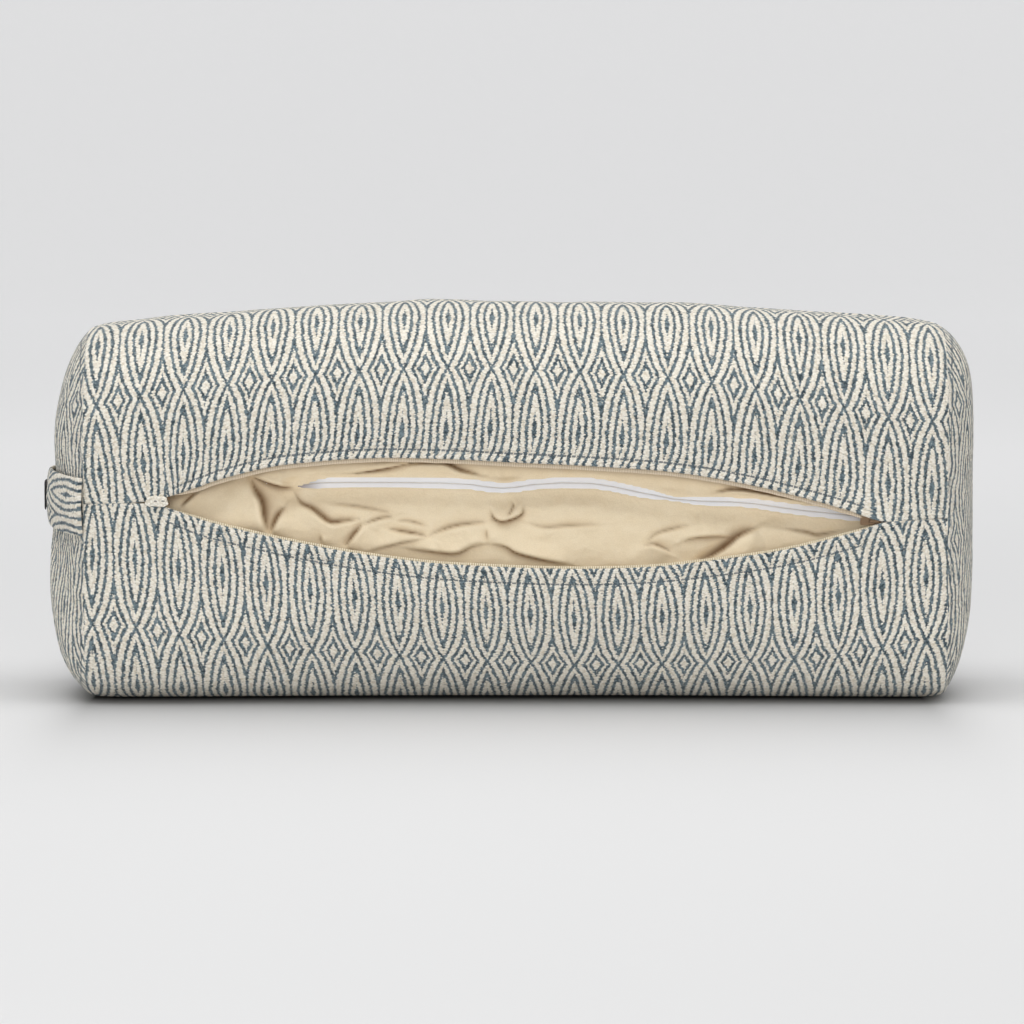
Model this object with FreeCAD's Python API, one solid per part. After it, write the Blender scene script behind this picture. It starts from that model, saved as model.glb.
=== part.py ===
"""Rectangular yoga bolster: a zipped woven cover, open at its zip, round a zipped and filled cotton bag.

Millimetres. The bolster stands on its long narrow side. +X runs along its length, -Y is the face with the
zips and +Z is up. The origin is the middle of the footprint: the centre of the whole object's box, at the
surface that it stands on.
"""
import FreeCAD, Part

import math
import os

Vector = FreeCAD.Vector

# --- Driving dimensions -------------------------------------------------------------------------------
SEAM_TO_SEAM = 610.0      # along X, between the two end seams
HEIGHT_MIDDLE = 281.0     # the crown of the upper side, half way along
HEIGHT_END = 267.0        # the same at the end seams
FRONT_Y = -88.0           # the flat of the front face, where the zips are
BACK_MIDDLE_Y = 89.2      # the crown of the back, half way along
BACK_END_Y = 85.0
LOW_RADIUS = 44.0         # corners beside the surface that it stands on
HIGH_RADIUS_MIDDLE = 78.0
HIGH_RADIUS_END = 62.0
END_BULGE = 25.0          # how far each end panel domes past its seam
HANDLE_REACH = 35.5       # from the left end seam to the handle's outermost face
LABEL_THICKNESS = 0.7

COVER_THICKNESS = 1.8
BAG_THICKNESS = 1.0
COVER_TO_BAG = 1.0        # slack between cover and bag
BAG_TO_FILLING = 0.4
BAG_FRONT_Y = -66.0       # the bag's flat front, set back inside the mouth
FILLING_FRONT_Y = -58.0

# The seams' middle is a little off the origin, because only the left end has a handle.
SEAM_MIDDLE_X = (HANDLE_REACH + LABEL_THICKNESS - END_BULGE) / 2

# The cover's zip: the two ends of its chain, and how far its lips stand open half way along.
COVER_ZIP_LEFT = Vector(SEAM_MIDDLE_X - 243.0, 0, 145.0)
COVER_ZIP_RIGHT = Vector(SEAM_MIDDLE_X + 258.0, 0, 131.0)
LIP_RISE = 40.0           # fabric edge, from the zip's line
COIL_RISE = 36.5          # inner edge of the coil, from the zip's line
LIP_OVERRUN_LEFT = 5.0    # the fabric's lips meet this far past the chain's left end
SLOT_HALF = 4.5           # blunt ends of the mouth, where the lips clear the slider and the end tab
SLOT_REACH = 26.0
HEM_WIDTH = 9.0           # fabric folded back behind each lip, which the tape is sewn to
# The bag's zip, closed, in the flat of the bag's front.
BAG_ZIP_LEFT = Vector(SEAM_MIDDLE_X - 175.0, 0, 158.5)
BAG_ZIP_RIGHT = Vector(SEAM_MIDDLE_X + 262.0, 0, 133.0)
BAG_SLOT_HALF = 6.0       # the bag's fabric stops this far from its zip's line

TAPE_THICKNESS = 0.6
TAPE_WIDTH = 12.0
TAPE_OVERRUN = 18.0       # tape past each end of the chain
TAPE_INNER_GAP = 0.9      # from the zip's line to each tape's edge
COIL_WIDTH = 2.1
COIL_DEPTH = 2.0
COIL_HALF_GAP = 1.0       # from the zip's line to each coil, room for the slider's post
END_TAB_LENGTH = 15.5
END_TAB_HALF = 4.3
END_TAB_THICKNESS = 3.0
STOP_GAP = 1.0            # from a parked slider to the stop
STOP_THICKNESS = 2.0

SLIDER_LENGTH = 9.0
SLIDER_HEIGHT = 7.0
SLIDER_CORNER = 2.0
WING_THICKNESS = 1.2
SLIDER_CLEARANCE = 0.4
SLIDER_POST_LENGTH = 3.0
SLIDER_POST_HALF = 0.5
ARCH_LENGTH = 6.4         # the loop on the slider's face that holds the pull
ARCH_WIDTH = 1.6
ARCH_RISE = 2.6
ARCH_BAR = 0.8
PIVOT_RISE = 1.0          # the pull's cross bar, from the slider's face
PULL_BAR_RADIUS = 0.45
PULL_THICKNESS = 0.8
PULL_ARM_INNER = 1.2
PULL_ARM_OUTER = 2.4
PULL_ARM_LENGTH = 4.4
PULL_ARM_OVERLAP = 0.4    # how far the tab runs back over the arms
PULL_LENGTH = 10.0
PULL_TAB_HALF_WIDTH = 3.2
PULL_TAB_CORNER = 1.5
SLIDER_INSET = 5.5        # from the end of the chain to the middle of a parked slider

HANDLE_WIDTH = 41.0
HANDLE_MIDDLE_Z = 141.0
HANDLE_THICKNESS = 3.0
HANDLE_SEWN_RISE = 1.2    # how far the strap's sewn ends stand proud of the cover
LABEL_HALF_LENGTH = 15.0
LABEL_LOW_Z = 132.0
LABEL_HIGH_Z = 152.0

FAR = 1000.0


# --- Shapes shared by the panels ----------------------------------------------------------------------
class Outline:
    """The bolster's cross-section at one place along X, as a rounded rectangle in Y and Z."""

    def __init__(self, x, front, back, low, high, low_radius, high_radius):
        self.x = x
        self.front = front
        self.back = back
        self.low = low
        self.high = high
        self.low_radius = low_radius
        self.high_radius = high_radius

    def inset(self, by, x=None):
        """The same section drawn in by a distance all round, with concentric corners."""
        return Outline(self.x if x is None else x, self.front + by, self.back - by, self.low + by,
                       self.high - by, self.low_radius - by, self.high_radius - by)

    def wire(self):
        def at(y, z):
            return Vector(self.x, y, z)

        def corner(centre_y, centre_z, radius, start_degrees):
            points = [at(centre_y + radius * math.cos(math.radians(start_degrees + turn)),
                         centre_z + radius * math.sin(math.radians(start_degrees + turn)))
                      for turn in (0, 45, 90)]
            return Part.Arc(*points).toShape()

        low, high = self.low_radius, self.high_radius
        corners = [
            corner(self.back - low, self.low + low, low, -90),
            corner(self.back - high, self.high - high, high, 0),
            corner(self.front + high, self.high - high, high, 90),
            corner(self.front + low, self.low + low, low, 180),
        ]
        edges = []
        for here, there in zip(corners, corners[1:] + corners[:1]):
            edges.append(here)
            edges.append(Part.makeLine(here.Vertexes[-1].Point, there.Vertexes[0].Point))
        return Part.Wire(edges)


def body_outline(x, share):
    """The cover's outer section at x. share is 0 half way along the bolster and 1 at an end seam."""
    def between(middle, end):
        return middle + (end - middle) * share

    return Outline(x, FRONT_Y, between(BACK_MIDDLE_Y, BACK_END_Y), 0.0,
                   between(HEIGHT_MIDDLE, HEIGHT_END), LOW_RADIUS,
                   between(HIGH_RADIUS_MIDDLE, HIGH_RADIUS_END))


def body_outlines():
    """Five sections from end seam to end seam, falling off towards the ends as a cushion does."""
    return [body_outline(SEAM_MIDDLE_X + SEAM_TO_SEAM / 2 * place, abs(place) ** 2.4)
            for place in (-1.0, -0.55, 0.0, 0.55, 1.0)]


def end_outlines(side):
    """Sections of one end panel, from its seam outwards. side is -1 for the left end and 1 for the right."""
    base = body_outline(SEAM_MIDDLE_X + side * SEAM_TO_SEAM / 2, 1.0)
    steps = ((0.0, 0.0), (0.33, 6.0), (0.63, 16.0), (0.87, 32.0), (1.0, 52.0))
    made = []
    for along, inset in steps:
        outline = Outline(base.x + side * along * END_BULGE, base.front + inset, base.back - inset,
                          base.low + inset, base.high - inset, base.low_radius, base.high_radius)
        largest = 0.4 * (outline.back - outline.front)
        outline.low_radius = min(base.low_radius - inset * 0.3, largest)
        outline.high_radius = min(base.high_radius - inset * 0.3, largest)
        made.append(outline)
    return made


def loft(outlines):
    return Part.makeLoft([outline.wire() for outline in outlines], True, False)


def clipped(shape, front, low):
    """The part of shape behind the plane y = front and above z = low, so that both are true flats."""
    keep = Part.makeBox(2 * FAR, FAR, FAR, Vector(-FAR, front, low))
    return shape.common(keep)


def body_solid(by, front, low):
    """The volume inside the cover's outer face, inset by a distance, with a flat front and footprint."""
    outlines = [outline.inset(by) for outline in body_outlines()]
    for outline in outlines:
        outline.front = min(outline.front, front - 0.8)
        outline.low = low - 0.8
    return clipped(loft(outlines), front, low)


def dome_solid(side, by, front):
    """The volume inside one end panel's outer face, inset by a distance, with a flat front."""
    outlines = end_outlines(side)
    inner = [outlines[0].inset(by)] + [outline.inset(by, outline.x - side * by) for outline in outlines[1:]]
    return clipped(loft(inner), front, by)


# --- Shapes shared by the two zips --------------------------------------------------------------------
class ZipLine:
    """Places shapes drawn along +X from 0, with Z across the zip, onto a zip's real line."""

    def __init__(self, left, right):
        self.left = left
        self.length = (right - left).Length
        self.tilt_degrees = -math.degrees(math.atan2(right.z - left.z, right.x - left.x))

    def place(self, shape):
        shape = shape.copy()
        shape.rotate(Vector(0, 0, 0), Vector(0, 1, 0), self.tilt_degrees)
        shape.translate(self.left)
        return shape


def bow(start_x, end_x, start_z, middle_z):
    """A circular bow between two places on the zip, at start_z at both ends and middle_z half way."""
    start, end = Vector(start_x, 0, start_z), Vector(end_x, 0, start_z)
    if middle_z == start_z:
        return Part.makeLine(start, end)
    return Part.Arc(start, Vector((start_x + end_x) / 2, 0, middle_z), end).toShape()


def closed_face(edges):
    return Part.Face(Part.Wire(Part.__sortEdges__(edges)))


def bowed_band(length, overrun, near, far, y, thickness):
    """A strip along a bow. near and far are pairs: offset from the zip's line at its ends and half way."""
    edges = []
    for start_z, middle_z in (near, far):
        edges.append(bow(0, length, start_z, middle_z))
        if overrun:
            for start_x, end_x in ((-overrun, 0), (length, length + overrun)):
                edges.append(Part.makeLine(Vector(start_x, 0, start_z), Vector(end_x, 0, start_z)))
    for x in (-overrun, length + overrun):
        edges.append(Part.makeLine(Vector(x, 0, near[0]), Vector(x, 0, far[0])))
    band = closed_face(edges).extrude(Vector(0, thickness, 0))
    band.translate(Vector(0, y, 0))
    return band


def block(start_x, end_x, y, thickness, low_z, high_z):
    return Part.makeBox(end_x - start_x, thickness, high_z - low_z, Vector(start_x, y, low_z))


def below(shape):
    """The same shape on the other side of the zip's line."""
    return shape.mirror(Vector(0, 0, 0), Vector(0, 0, 1))


def rounded_through_y(shape, radius, thickness):
    edges = [e for e in shape.Edges if abs(e.Vertexes[0].Y - e.Vertexes[-1].Y) > thickness / 2]
    return shape.makeFillet(radius, edges)


def slider(centre_x, face_y, back_y):
    """Front wing, back wing, the post between them and the arch that holds the pull."""
    half = SLIDER_LENGTH / 2

    def wing(y):
        raw = block(centre_x - half, centre_x + half, y, WING_THICKNESS,
                    -SLIDER_HEIGHT / 2, SLIDER_HEIGHT / 2)
        return rounded_through_y(raw, SLIDER_CORNER, WING_THICKNESS)

    post_y = face_y + WING_THICKNESS
    post = block(centre_x - SLIDER_POST_LENGTH / 2, centre_x + SLIDER_POST_LENGTH / 2, post_y,
                 back_y - post_y, -SLIDER_POST_HALF, SLIDER_POST_HALF)
    arch_y = face_y - ARCH_RISE
    arch = block(centre_x - ARCH_LENGTH / 2, centre_x + ARCH_LENGTH / 2, arch_y, ARCH_RISE,
                 -ARCH_WIDTH / 2, ARCH_WIDTH / 2)
    inside = ARCH_LENGTH / 2 - ARCH_BAR
    hole = block(centre_x - inside, centre_x + inside, arch_y + ARCH_BAR, ARCH_RISE - ARCH_BAR,
                 -ARCH_WIDTH / 2, ARCH_WIDTH / 2)
    return wing(face_y).fuse([wing(back_y), post, arch.cut(hole)]).removeSplitter()


def pull(pivot_x, pivot_y, way):
    """A cross bar under the arch, two arms past the arch and a tab. way is -1 to point left, 1 right."""
    bar = Part.makeCylinder(PULL_BAR_RADIUS, 2 * PULL_ARM_OUTER, Vector(pivot_x, pivot_y, -PULL_ARM_OUTER),
                            Vector(0, 0, 1))

    def slab(start, end, low, high):
        near, far = sorted((pivot_x + way * start, pivot_x + way * end))
        return block(near, far, pivot_y - PULL_THICKNESS / 2, PULL_THICKNESS, low, high)

    upper_arm = slab(0, PULL_ARM_LENGTH, PULL_ARM_INNER, PULL_ARM_OUTER)
    raw_tab = slab(PULL_ARM_LENGTH - PULL_ARM_OVERLAP, PULL_LENGTH,
                   -PULL_TAB_HALF_WIDTH, PULL_TAB_HALF_WIDTH)
    tab = rounded_through_y(raw_tab, PULL_TAB_CORNER, PULL_THICKNESS)
    return bar.fuse([upper_arm, below(upper_arm), tab]).removeSplitter()


class Chain:
    """The moving and sewn parts of one zip, drawn in the zip's own frame. tape_y is the tapes' outer face."""

    def __init__(self, length, tape_y, middle_coil, slider_x, pull_way):
        self.length = length
        self.tape_y = tape_y
        self.coil_y = tape_y + TAPE_THICKNESS
        self.middle_coil = middle_coil
        self.slider_x = slider_x
        self.pull_way = pull_way
        self.face_y = tape_y - SLIDER_CLEARANCE - WING_THICKNESS

    def tape(self):
        middle = TAPE_INNER_GAP + (self.middle_coil - COIL_HALF_GAP)
        return bowed_band(self.length, TAPE_OVERRUN, (TAPE_INNER_GAP, middle),
                          (TAPE_INNER_GAP + TAPE_WIDTH, middle + TAPE_WIDTH), self.tape_y, TAPE_THICKNESS)

    def coil(self):
        return bowed_band(self.length, 0.0, (COIL_HALF_GAP, self.middle_coil),
                          (COIL_HALF_GAP + COIL_WIDTH, self.middle_coil + COIL_WIDTH),
                          self.coil_y, COIL_DEPTH)

    def stop(self, x, low_z, high_z):
        """A block on the tapes' inner face. Negative x counts from the left end, positive from the right."""
        start = x if x < 0 else self.length + x
        return block(start - STOP_THICKNESS / 2, start + STOP_THICKNESS / 2, self.coil_y, COIL_DEPTH,
                     low_z, high_z)

    def bottom_stop(self, way):
        """One block that joins both half chains, at the end where the slider rests when the zip is open."""
        reach = COIL_HALF_GAP + COIL_WIDTH
        return self.stop(way * (STOP_GAP + STOP_THICKNESS / 2), -reach, reach)

    def top_stops(self, way):
        """One block on each tape, at the end where the slider rests when the zip is closed."""
        upper = self.stop(way * (STOP_GAP + STOP_THICKNESS / 2), COIL_HALF_GAP, COIL_HALF_GAP + COIL_WIDTH)
        return Part.makeCompound([upper, below(upper)])

    def slider(self):
        return slider(self.slider_x, self.face_y, self.coil_y + COIL_DEPTH + SLIDER_CLEARANCE)

    def pull(self):
        return pull(self.slider_x, self.face_y - PIVOT_RISE, self.pull_way)


COVER_ZIP = ZipLine(COVER_ZIP_LEFT, COVER_ZIP_RIGHT)
BAG_ZIP = ZipLine(BAG_ZIP_LEFT, BAG_ZIP_RIGHT)
COVER_CHAIN = Chain(COVER_ZIP.length, FRONT_Y + 2 * COVER_THICKNESS, COIL_RISE,
                    COVER_ZIP.length - SLIDER_INSET, -1)
BAG_CHAIN = Chain(BAG_ZIP.length, BAG_FRONT_Y + BAG_THICKNESS, COIL_HALF_GAP,
                  BAG_ZIP.length - SLIDER_INSET, 1)


# --- Cover --------------------------------------------------------------------------------------------
def mouth_cutter():
    """The open mouth as a lens, with a blunt slot at each end, reaching through the front of the cover."""
    start, end = -LIP_OVERRUN_LEFT, COVER_ZIP.length
    lens = closed_face([bow(start, end, 0.0, LIP_RISE), bow(start, end, 0.0, -LIP_RISE)])
    lens = lens.extrude(Vector(0, 3 * COVER_THICKNESS, 0))
    lens.translate(Vector(0, FRONT_Y - COVER_THICKNESS, 0))
    tab_end = -END_TAB_LENGTH - STOP_GAP
    slots = [block(tab_end, tab_end + SLOT_REACH + END_TAB_LENGTH, FRONT_Y - COVER_THICKNESS,
                   3 * COVER_THICKNESS, -SLOT_HALF, SLOT_HALF),
             block(end - SLOT_REACH, end, FRONT_Y - COVER_THICKNESS, 3 * COVER_THICKNESS,
                   -SLOT_HALF, SLOT_HALF)]
    return lens.fuse(slots)


def hem():
    """The fabric folded back behind the upper lip. The lower one is its mirror image."""
    return bowed_band(COVER_ZIP.length, TAPE_OVERRUN, (SLOT_HALF, LIP_RISE),
                      (SLOT_HALF + HEM_WIDTH, LIP_RISE + HEM_WIDTH), FRONT_Y + COVER_THICKNESS,
                      COVER_THICKNESS)


def cover_main_panel():
    """One length of fabric wrapped right round, open at both ends and at the mouth."""
    outer = body_solid(0.0, FRONT_Y, 0.0)
    inner = body_solid(COVER_THICKNESS, FRONT_Y + COVER_THICKNESS, COVER_THICKNESS)
    wrap = outer.cut(inner).cut(COVER_ZIP.place(mouth_cutter()))
    return wrap.fuse([COVER_ZIP.place(hem()), COVER_ZIP.place(below(hem()))])


def cover_end_panel(side):
    outer = dome_solid(side, 0.0, FRONT_Y)
    return outer.cut(dome_solid(side, COVER_THICKNESS, FRONT_Y + COVER_THICKNESS))


def cover_zip_end_tab():
    """A folded scrap of fabric over the two tapes' left ends."""
    return block(-END_TAB_LENGTH, 0.0, COVER_CHAIN.tape_y - END_TAB_THICKNESS, END_TAB_THICKNESS,
                 -END_TAB_HALF, END_TAB_HALF)


# --- Handle -------------------------------------------------------------------------------------------
HANDLE_MIDDLE_Y = (FRONT_Y + BACK_END_Y) / 2
HANDLE_SPREAD = (BACK_END_Y - FRONT_Y) / 2 + HANDLE_SEWN_RISE


def half_loop(reach, spread, low_z, high_z, half_length):
    """Half an ellipse standing out from the left end seam, as a solid between two heights."""
    seam_x = SEAM_MIDDLE_X - SEAM_TO_SEAM / 2
    centre = Vector(seam_x, HANDLE_MIDDLE_Y, low_z)
    ellipse = Part.Ellipse(centre + Vector(0, spread, 0), centre + Vector(-reach, 0, 0), centre)
    disc = Part.Face(Part.Wire([ellipse.toShape()])).extrude(Vector(0, 0, high_z - low_z))
    outside = Part.makeBox(2 * reach, 2 * half_length, high_z - low_z,
                           Vector(seam_x - 2 * reach, HANDLE_MIDDLE_Y - half_length, low_z))
    return disc.common(outside)


def handle_strap():
    low = HANDLE_MIDDLE_Z - HANDLE_WIDTH / 2
    high = HANDLE_MIDDLE_Z + HANDLE_WIDTH / 2
    outer = half_loop(HANDLE_REACH, HANDLE_SPREAD, low, high, 2 * HANDLE_SPREAD)
    inner = half_loop(HANDLE_REACH - HANDLE_THICKNESS, HANDLE_SPREAD - HANDLE_THICKNESS, low, high,
                      2 * HANDLE_SPREAD)
    return outer.cut(inner).cut(dome_solid(-1, 0.0, FRONT_Y))


def handle_label():
    outer = half_loop(HANDLE_REACH + LABEL_THICKNESS, HANDLE_SPREAD + LABEL_THICKNESS,
                      LABEL_LOW_Z, LABEL_HIGH_Z, LABEL_HALF_LENGTH)
    return outer.cut(half_loop(HANDLE_REACH, HANDLE_SPREAD, LABEL_LOW_Z, LABEL_HIGH_Z, HANDLE_SPREAD))


# --- Bag and filling ----------------------------------------------------------------------------------
BAG_INSET = COVER_THICKNESS + COVER_TO_BAG
BAG_INNER_INSET = BAG_INSET + BAG_THICKNESS
FILLING_INSET = BAG_INNER_INSET + BAG_TO_FILLING


def bag_main_panel():
    """The bag's wrap, with the slot that its zip closes."""
    outer = body_solid(BAG_INSET, BAG_FRONT_Y, BAG_INSET)
    inner = body_solid(BAG_INNER_INSET, BAG_FRONT_Y + BAG_THICKNESS, BAG_INNER_INSET)
    slot = block(-SLIDER_LENGTH, BAG_ZIP.length + SLIDER_LENGTH, BAG_FRONT_Y - BAG_THICKNESS,
                 3 * BAG_THICKNESS, -BAG_SLOT_HALF, BAG_SLOT_HALF)
    return outer.cut(inner).cut(BAG_ZIP.place(slot))


def bag_end_panel(side):
    outer = dome_solid(side, BAG_INSET, BAG_FRONT_Y)
    return outer.cut(dome_solid(side, BAG_INNER_INSET, BAG_FRONT_Y + BAG_THICKNESS))


def filling():
    middle = body_solid(FILLING_INSET, FILLING_FRONT_Y, FILLING_INSET)
    ends = [dome_solid(side, FILLING_INSET, FILLING_FRONT_Y) for side in (-1, 1)]
    return middle.fuse(ends).removeSplitter()


# --- All nodes ----------------------------------------------------------------------------------------
def zip_nodes(prefix, line, chain, open_way):
    """One zip's nodes. open_way is the end where the slider rests when the zip is open: -1 left, 1 right."""
    drawn = {
        "tape_upper": chain.tape(),
        "tape_lower": below(chain.tape()),
        "coil_upper": chain.coil(),
        "coil_lower": below(chain.coil()),
        "bottom_stop": chain.bottom_stop(open_way),
        "top_stops": chain.top_stops(-open_way),
        "slider": chain.slider(),
        "pull": chain.pull(),
    }
    return {f"{prefix}_{name}": line.place(shape) for name, shape in drawn.items()}


def nodes():
    made = {
        "cover_main_panel": cover_main_panel(),
        "cover_end_panel_left": cover_end_panel(-1),
        "cover_end_panel_right": cover_end_panel(1),
        "cover_zip_end_tab": COVER_ZIP.place(cover_zip_end_tab()),
        "handle_strap": handle_strap(),
        "handle_label": handle_label(),
        "bag_main_panel": bag_main_panel(),
        "bag_end_panel_left": bag_end_panel(-1),
        "bag_end_panel_right": bag_end_panel(1),
        "filling": filling(),
    }
    made.update(zip_nodes("cover_zip", COVER_ZIP, COVER_CHAIN, 1))
    made.update(zip_nodes("bag_zip", BAG_ZIP, BAG_CHAIN, -1))
    return made


def main():
    os.makedirs("parts", exist_ok=True)
    for name, shape in nodes().items():
        box = shape.optimalBoundingBox()
        print(f"{name}: {len(shape.Solids)} solids, valid {shape.isValid()}, {shape.Volume / 1000:.1f} cm3, "
              f"X {box.XMin:.1f}..{box.XMax:.1f}, Y {box.YMin:.1f}..{box.YMax:.1f}, "
              f"Z {box.ZMin:.1f}..{box.ZMax:.1f}")
        shape.exportStep(f"parts/{name}.step")


main()
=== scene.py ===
"""Looks of the rectangular bolster: woven cover with its zip open, cotton bag inside, on a pale floor.

Lengths in this script are millimetres in the row's frame, and become metres where a mesh is made.
"""

import math

import bpy
import numpy as np
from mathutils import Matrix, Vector, noise


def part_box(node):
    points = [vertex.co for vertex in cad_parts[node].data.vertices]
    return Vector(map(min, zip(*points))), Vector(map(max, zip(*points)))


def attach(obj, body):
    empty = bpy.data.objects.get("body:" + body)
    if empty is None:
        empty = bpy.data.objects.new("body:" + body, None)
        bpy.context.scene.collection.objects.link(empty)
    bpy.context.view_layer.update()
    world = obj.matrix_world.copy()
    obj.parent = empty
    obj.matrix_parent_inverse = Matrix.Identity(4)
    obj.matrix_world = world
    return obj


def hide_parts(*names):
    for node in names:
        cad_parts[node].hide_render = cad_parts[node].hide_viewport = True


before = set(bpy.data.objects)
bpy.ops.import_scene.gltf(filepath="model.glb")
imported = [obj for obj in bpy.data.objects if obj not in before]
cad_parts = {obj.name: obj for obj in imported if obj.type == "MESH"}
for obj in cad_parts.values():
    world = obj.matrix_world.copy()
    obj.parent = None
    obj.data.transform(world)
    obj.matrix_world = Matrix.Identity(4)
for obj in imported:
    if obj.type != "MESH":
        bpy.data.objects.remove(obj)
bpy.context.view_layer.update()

MM = 0.001


# --- Places taken from the frame ----------------------------------------------------------------------
def box_mm(node):
    low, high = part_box(node)
    return np.array(low) / MM, np.array(high) / MM


WRAP_LOW, WRAP_HIGH = box_mm("cover_main_panel")
BAG_LOW, BAG_HIGH = box_mm("bag_main_panel")
FILL_LOW, FILL_HIGH = box_mm("filling")
STRAP_LOW, STRAP_HIGH = box_mm("handle_strap")
LABEL_LOW, LABEL_HIGH = box_mm("handle_label")
TAB_LOW, TAB_HIGH = box_mm("cover_zip_end_tab")
LEFT_DOME_X = box_mm("cover_end_panel_left")[0][0]
SEAM_X = (WRAP_LOW[0] + WRAP_HIGH[0]) / 2
HALF_LENGTH = (WRAP_HIGH[0] - WRAP_LOW[0]) / 2
FRONT = WRAP_LOW[1]
BACK = WRAP_HIGH[1]
TOP = WRAP_HIGH[2]
DOME_REACH = WRAP_LOW[0] - LEFT_DOME_X

# --- Sizes of the cloth ---------------------------------------------------------------------------------
COLUMN_PERIOD = 31.0     # the woven pattern's repeat along the bolster
ROW_PERIOD = 96.0        # and round it
# Pairs of X, from the middle of the seams, and height: the two rows of small diamonds, and from each of them
# how far it is to the middle of the tall figures towards the mouth.
UPPER_ROW = [(-305, 211), (-248, 221.6), (-186, 230), (-123, 235), (-77, 237.5), (-15, 238.4), (31, 237),
             (93, 233), (155, 227), (214, 214.5), (244, 208), (275, 202.5), (305, 201)]
LOWER_ROW = [(-305, 59), (-282, 57.5), (-251, 53.3), (-220, 48.7), (-189, 44.9), (-158, 40.9), (-95, 36),
             (-33, 32), (44, 28), (121, 29), (213, 33.5), (244, 38.5), (275, 45), (305, 49)]
TALL_BELOW_UPPER = [(-305, 49), (-232, 46), (-77, 44), (0, 43.5), (100, 45), (194, 49), (305, 48)]
TALL_ABOVE_LOWER = [(-305, 48), (-267, 48), (-82, 41), (0, 39), (105, 38), (230, 43), (305, 45)]
COVER_GRID = 318, 261    # rows round the cover and columns along it
# Flat sizes of the panels, in metres.
COVER_END_FLAT = 0.178, 0.28
BAG_END_FLAT = 0.165, 0.262
# The hems and lips.
HEM_RADIUS = 1.7
CLOSED_HEM_RADIUS = 0.45
FAR_FROM_LIP = 99.0      # so that no topstitch falls on the handle
STITCH_UPPER = 4.2       # the topstitches' distance from each lip
STITCH_LOWER = 9.5
END_REACH = 1.16         # how far the left end puffs out, as a share of the frame's
END_FRONT = 1.0          # how steeply it leaves the front and back seams
END_DENT = 4.0           # how far the handle draws it in
MOUTH_LEFT = -249.0      # the lips' corners, from the middle of the seams
MOUTH_RIGHT = 258.0
UPPER_LIP_PLACES = [(-305, 143), (-270, 144), (-249, 147.2), (-226, 154.8), (-205, 162), (-165, 171),
                    (-104, 176), (-51, 175.4), (0, 173), (65, 169.7), (112, 166), (158, 158.5), (200, 148.6),
                    (236, 138.4), (258, 131.2), (280, 131.8), (305, 132.4)]
LOWER_LIP_PLACES = [(-305, 143), (-270, 144), (-249, 141.8), (-217, 131), (-165, 118.6), (-115, 109.2),
                    (-64, 102.4), (-14, 99.2), (31, 97.9), (65, 98), (100, 99.6), (135, 103.2), (170, 107.8),
                    (200, 113.2), (240, 123.9), (258, 130.2), (280, 131.8), (305, 132.4)]


# --- Small maths --------------------------------------------------------------------------------------
def ease(value):
    value = np.clip(value, 0.0, 1.0)
    return value * value * (3.0 - 2.0 * value)


def bell(distance, width):
    return np.exp(-(distance / width) ** 2)


def lumps(points, size, seed, octaves=2):
    """Smooth noise of about -1 to 1 at each point of an array whose last axis is x, y, z in millimetres."""
    flat = points.reshape(-1, 3) / size + seed
    made = [noise.fractal(Vector(p), 1.0, 2.0, octaves) for p in flat]
    return np.array(made).reshape(points.shape[:-1])


def unit(vectors):
    return vectors / np.maximum(np.linalg.norm(vectors, axis=-1, keepdims=True), 1e-9)


def grid_normals(points):
    across = np.gradient(points, axis=0)
    along = np.gradient(points, axis=1)
    return unit(np.cross(across, along))


def height_of(places, x):
    """Height at x on a line given by its places, as pairs of X and height."""
    places = np.array(places, dtype=float)
    return np.interp(x, places[:, 0], places[:, 1])


def distances_along(line):
    step = np.linalg.norm(np.diff(line, axis=0), axis=1)
    return np.concatenate([[0.0], np.cumsum(step)])


# --- Making meshes ------------------------------------------------------------------------------------
def put(name, data):
    """A new object in the scene."""
    made = bpy.data.objects.new(name, data)
    bpy.context.scene.collection.objects.link(made)
    return made


def grid_faces(rows, columns, close_columns=False):
    wrap = columns if close_columns else columns - 1
    index = np.arange(rows * columns).reshape(rows, columns)
    here = index[:-1, :wrap]
    right = np.roll(index, -1, axis=1)[:-1, :wrap]
    above = index[1:, :wrap]
    corner = np.roll(index, -1, axis=1)[1:, :wrap]
    return np.stack([here, right, corner, above], axis=-1).reshape(-1, 4)


def new_piece(name, points, faces, cloth, material):
    """A mesh on the bolster's body; cloth holds its own pattern coordinates in millimetres."""
    mesh = bpy.data.meshes.new(name)
    mesh.from_pydata((points.reshape(-1, 3) * MM).tolist(), [], [tuple(f) for f in faces])
    mesh.polygons.foreach_set("use_smooth", [True] * len(mesh.polygons))
    layer = mesh.attributes.new("cloth", "FLOAT_VECTOR", "POINT")
    layer.data.foreach_set("vector", cloth.reshape(-1).astype(np.float32))
    mesh.update()
    mesh.materials.append(material)
    made = put(name, mesh)
    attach(made, "bolster")
    return made


def resample(line, count):
    """The line as evenly spaced points, and its length."""
    along = distances_along(line)
    wanted = np.linspace(0.0, along[-1], count)
    parts = [np.interp(wanted, along, line[:, k]) for k in range(line.shape[1])]
    return np.stack(parts, axis=-1), along[-1]


def smooth_path(corners, count):
    """A Catmull-Rom curve through the corners, evenly spaced."""
    corners = np.array(corners, dtype=float)
    padded = np.concatenate([[2 * corners[0] - corners[1]], corners, [2 * corners[-1] - corners[-2]]])
    line = []
    for i in range(len(corners) - 1):
        a, b, c, d = padded[i:i + 4]
        for t in np.linspace(0.0, 1.0, 24, endpoint=False):
            line.append(0.5 * (2 * b + (c - a) * t + (2 * a - 5 * b + 4 * c - d) * t * t
                               + (3 * b - a - 3 * c + d) * t ** 3))
    line.append(corners[-1])
    return resample(np.array(line), count)[0]


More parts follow.
